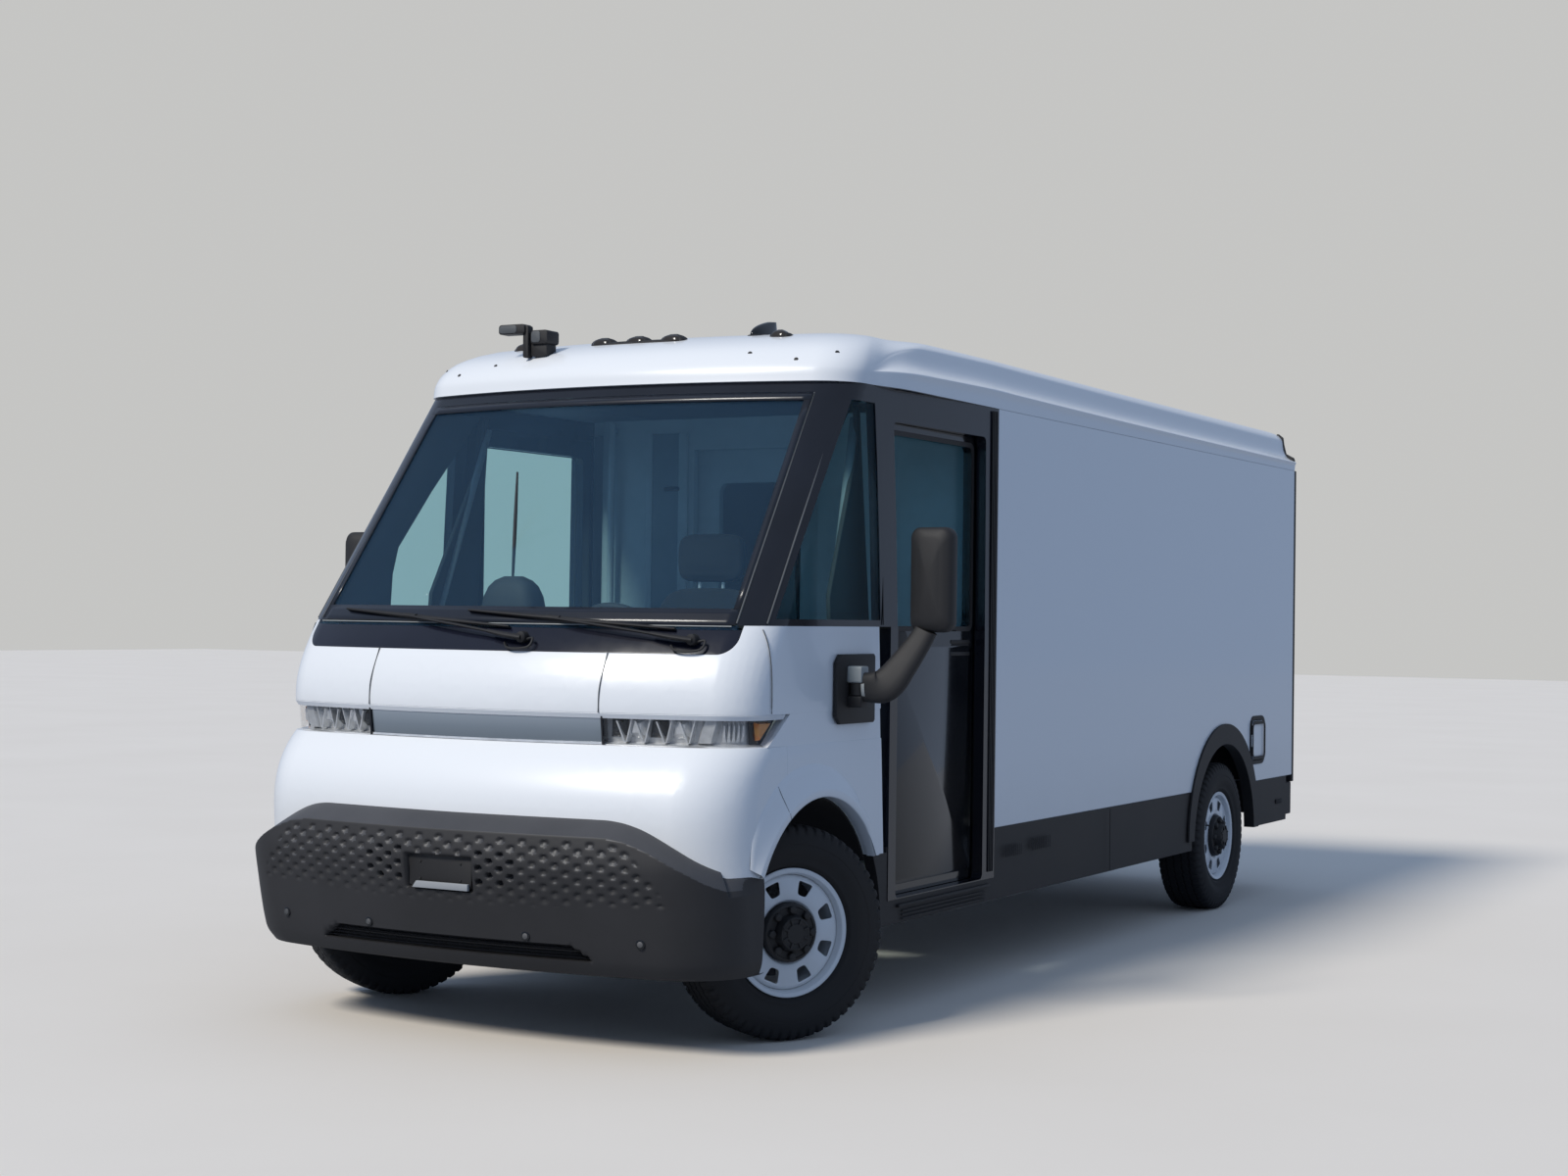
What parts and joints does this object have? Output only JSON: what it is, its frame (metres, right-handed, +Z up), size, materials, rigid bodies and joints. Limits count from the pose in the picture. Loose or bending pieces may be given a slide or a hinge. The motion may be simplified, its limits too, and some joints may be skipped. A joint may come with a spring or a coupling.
{
  "type": "electric walk-in cargo van",
  "caption": "Box-bodied electric delivery van with pocket sliding cab doors, a bulkhead door, a charge port and a roll-up rear door, standing with its front wheels steered",
  "frame": {"origin": "middle of the bounding box at ground level", "axes": "+Z up, the nose faces -Y, the driver's left side is +X"},
  "size_m": [2.864, 6.898, 2.74],
  "materials": {
    "body_paint": "gloss white paint",
    "black_trim": "grained black plastic",
    "gloss_black": "gloss black",
    "clear_glass": "tinted glass",
    "lamp_lens": "clear lamp lens",
    "tail_lens": "red lamp lens",
    "chassis_black": "chassis black",
    "floor_grey": "floor plate",
    "liner_black": "wheel housing liner",
    "rim_white": "white painted steel wheel",
    "tyre_rubber": "tyre",
    "cast_metal": "cast and forged parts",
    "cabin_plastic": "dark cabin plastic",
    "cabin_panel": "light grey panel",
    "seat_fabric": "black seat cloth",
    "battery_case": "battery housing"
  },
  "bodies": {
    "chassis": {"chassis_frame": "chassis_black", "battery_pack": "battery_case", "drive_units": "cast_metal", "cargo_floor": "floor_grey", "cab_floor": "cabin_plastic", "wheel_housings": "liner_black", "left_wall": "body_paint", "right_wall": "body_paint", "roof": "body_paint", "roof_cap": "body_paint", "rear_frame": "black_trim", "rear_door": "body_paint", "rear_bumper": "black_trim", "tail_lamps": "tail_lens", "hood": "body_paint", "cowl": "black_trim", "light_bar": "gloss_black", "headlamps": "lamp_lens", "front_fascia": "body_paint", "front_bumper": "black_trim", "left_fender": "body_paint", "right_fender": "body_paint", "windshield": "clear_glass", "cab_frame": "gloss_black", "quarter_windows": "clear_glass", "side_skirts": "black_trim", "bulkhead": "cabin_panel", "dashboard": "cabin_plastic", "driver_seat": "seat_fabric", "steering_column": "cabin_plastic", "charge_port": "black_trim", "front_suspension": "cast_metal", "rear_suspension": "cast_metal", "roof_lamps": "black_trim", "roof_antenna": "black_trim", "wipers": "black_trim", "mirror_brackets": "black_trim"},
    "left_knuckle": {"left_knuckle": "cast_metal"},
    "right_knuckle": {"right_knuckle": "cast_metal"},
    "front_left_wheel": {"front_left_rim": "rim_white", "front_left_tyre": "tyre_rubber"},
    "front_right_wheel": {"front_right_rim": "rim_white", "front_right_tyre": "tyre_rubber"},
    "rear_left_wheel": {"rear_left_rim": "rim_white", "rear_left_tyre": "tyre_rubber"},
    "rear_right_wheel": {"rear_right_rim": "rim_white", "rear_right_tyre": "tyre_rubber"},
    "steering_wheel": {"steering_wheel": "cabin_plastic"},
    "left_cab_door": {"left_cab_door": "gloss_black", "left_door_glass": "clear_glass"},
    "right_cab_door": {"right_cab_door": "gloss_black", "right_door_glass": "clear_glass"},
    "bulkhead_door": {"bulkhead_door": "cabin_panel"},
    "charge_lid": {"charge_lid": "body_paint"},
    "left_mirror": {"left_mirror": "black_trim"},
    "right_mirror": {"right_mirror": "black_trim"}
  },
  "joints": [
    {"name": "front_left_steer", "type": "hinge", "parent": "chassis", "child": "left_knuckle", "pos_m": [0.856, -2.542, 0.395], "axis": [0, 0, 1], "range_deg": [-6.8, 69.2]},
    {"name": "front_right_steer", "type": "hinge", "parent": "chassis", "child": "right_knuckle", "pos_m": [-0.856, -2.542, 0.395], "axis": [0, 0, 1], "range_deg": [-6.8, 69.2]},
    {"name": "steering_wheel_turn", "type": "hinge", "parent": "chassis", "child": "steering_wheel", "pos_m": [0.225, -2.602, 1.39], "axis": [0, 0.8321, 0.5547], "range_deg": [-110, 1110]},
    {"name": "front_left_spin", "type": "hinge", "parent": "left_knuckle", "child": "front_left_wheel", "pos_m": [0.856, -2.542, 0.395], "axis": [0.8554, -0.518, 0], "continuous": true},
    {"name": "front_right_spin", "type": "hinge", "parent": "right_knuckle", "child": "front_right_wheel", "pos_m": [-0.856, -2.542, 0.395], "axis": [0.8554, -0.518, 0], "continuous": true},
    {"name": "rear_left_spin", "type": "hinge", "parent": "chassis", "child": "rear_left_wheel", "pos_m": [1.028, 2.119, 0.395], "axis": [1, 0, 0], "continuous": true},
    {"name": "rear_right_spin", "type": "hinge", "parent": "chassis", "child": "rear_right_wheel", "pos_m": [-1.028, 2.119, 0.395], "axis": [1, 0, 0], "continuous": true},
    {"name": "left_door_slide", "type": "slide", "parent": "chassis", "child": "left_cab_door", "axis": [0, 1, 0], "range_m": [0, 0.8]},
    {"name": "right_door_slide", "type": "slide", "parent": "chassis", "child": "right_cab_door", "axis": [0, 1, 0], "range_m": [0, 0.8]},
    {"name": "bulkhead_door_slide", "type": "slide", "parent": "chassis", "child": "bulkhead_door", "axis": [1, 0, 0], "range_m": [0, 0.66]},
    {"name": "charge_lid_hinge", "type": "hinge", "parent": "chassis", "child": "charge_lid", "pos_m": [1.0633, 2.584, 0.89], "axis": [0, 0, -1], "range_deg": [0, 110]},
    {"name": "left_mirror_fold", "type": "hinge", "parent": "chassis", "child": "left_mirror", "pos_m": [1.104, -2.342, 1.28], "axis": [0, 0, 1], "range_deg": [-60, 40]},
    {"name": "right_mirror_fold", "type": "hinge", "parent": "chassis", "child": "right_mirror", "pos_m": [-1.104, -2.342, 1.28], "axis": [0, 0, -1], "range_deg": [-60, 40]}
  ],
  "couplings": [
    {"joint": "front_right_steer", "follows": "front_left_steer", "ratio": 1},
    {"joint": "steering_wheel_turn", "follows": "front_left_steer", "ratio": 16}
  ]
}
